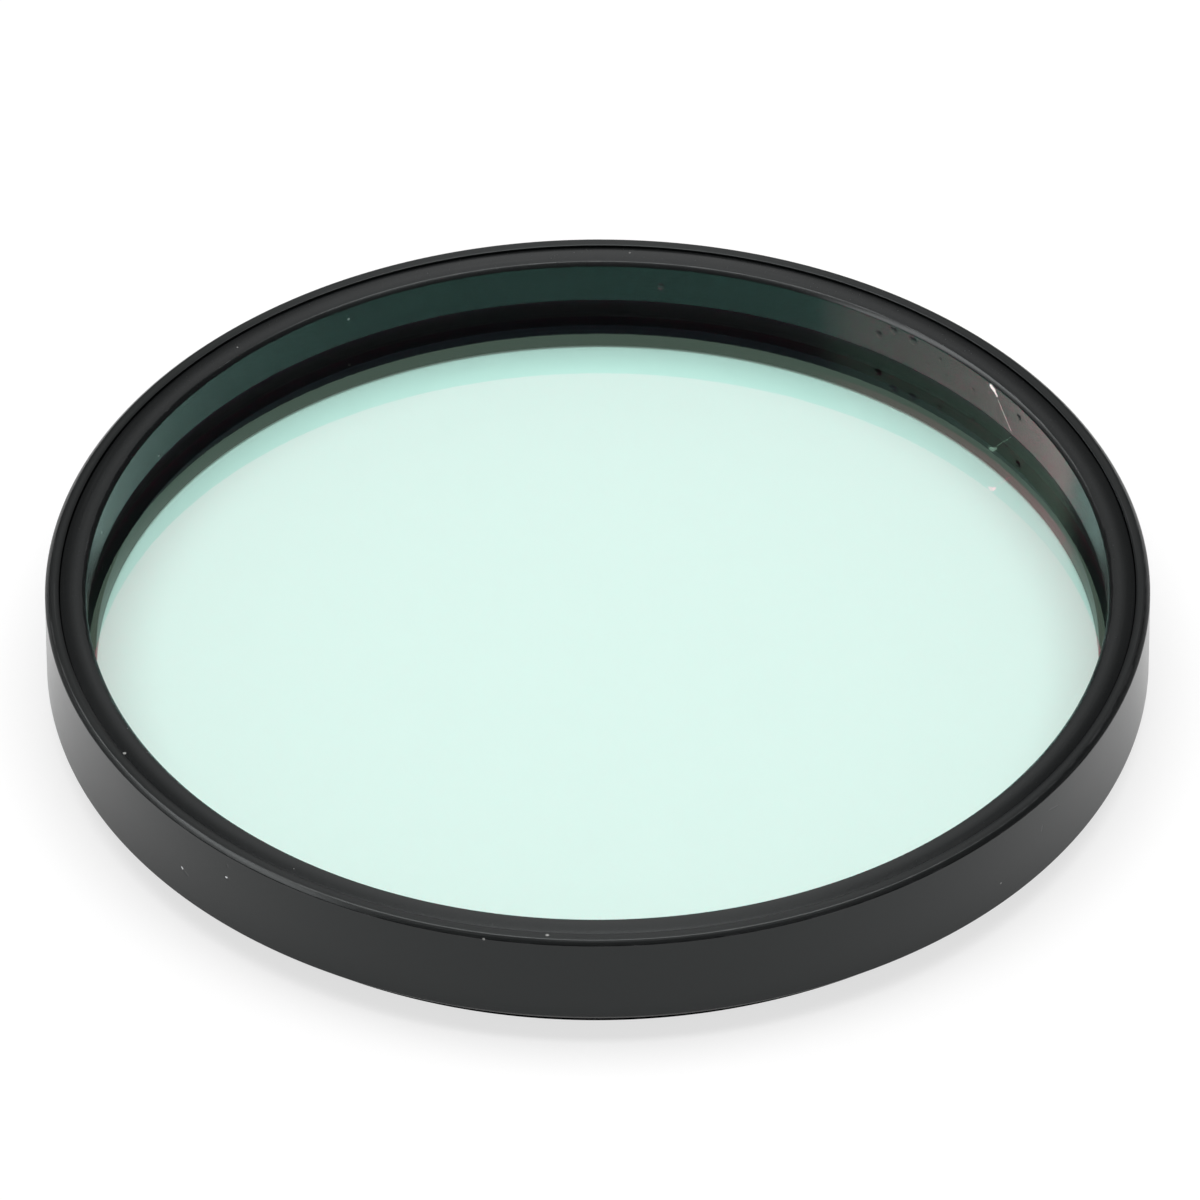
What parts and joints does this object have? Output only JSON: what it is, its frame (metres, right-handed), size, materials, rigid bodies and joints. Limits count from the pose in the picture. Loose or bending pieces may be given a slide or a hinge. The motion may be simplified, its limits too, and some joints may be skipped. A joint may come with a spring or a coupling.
{
  "type": "uv-ir cut filter",
  "caption": "Round UV-IR cut filter: a coated glass disc held by a flush retaining ring in a thin turned black cell with a short threaded spigot on the back.",
  "frame": {"origin": "centre of the end face of the threaded spigot, which is the lowest face of the filter as it lies", "axes": "+Z along the optical axis, out of the front face where the retaining ring shows; X and Y lie in the plane of the glass and are equal, as the filter is turned round Z"},
  "size_m": [0.0508, 0.0508, 0.006],
  "materials": {
    "black_anodised": "satin",
    "coated_glass": "polished"
  },
  "bodies": {
    "root": {"cell": "black_anodised", "filter_glass": "coated_glass", "retaining_ring": "black_anodised"}
  },
  "joints": []
}
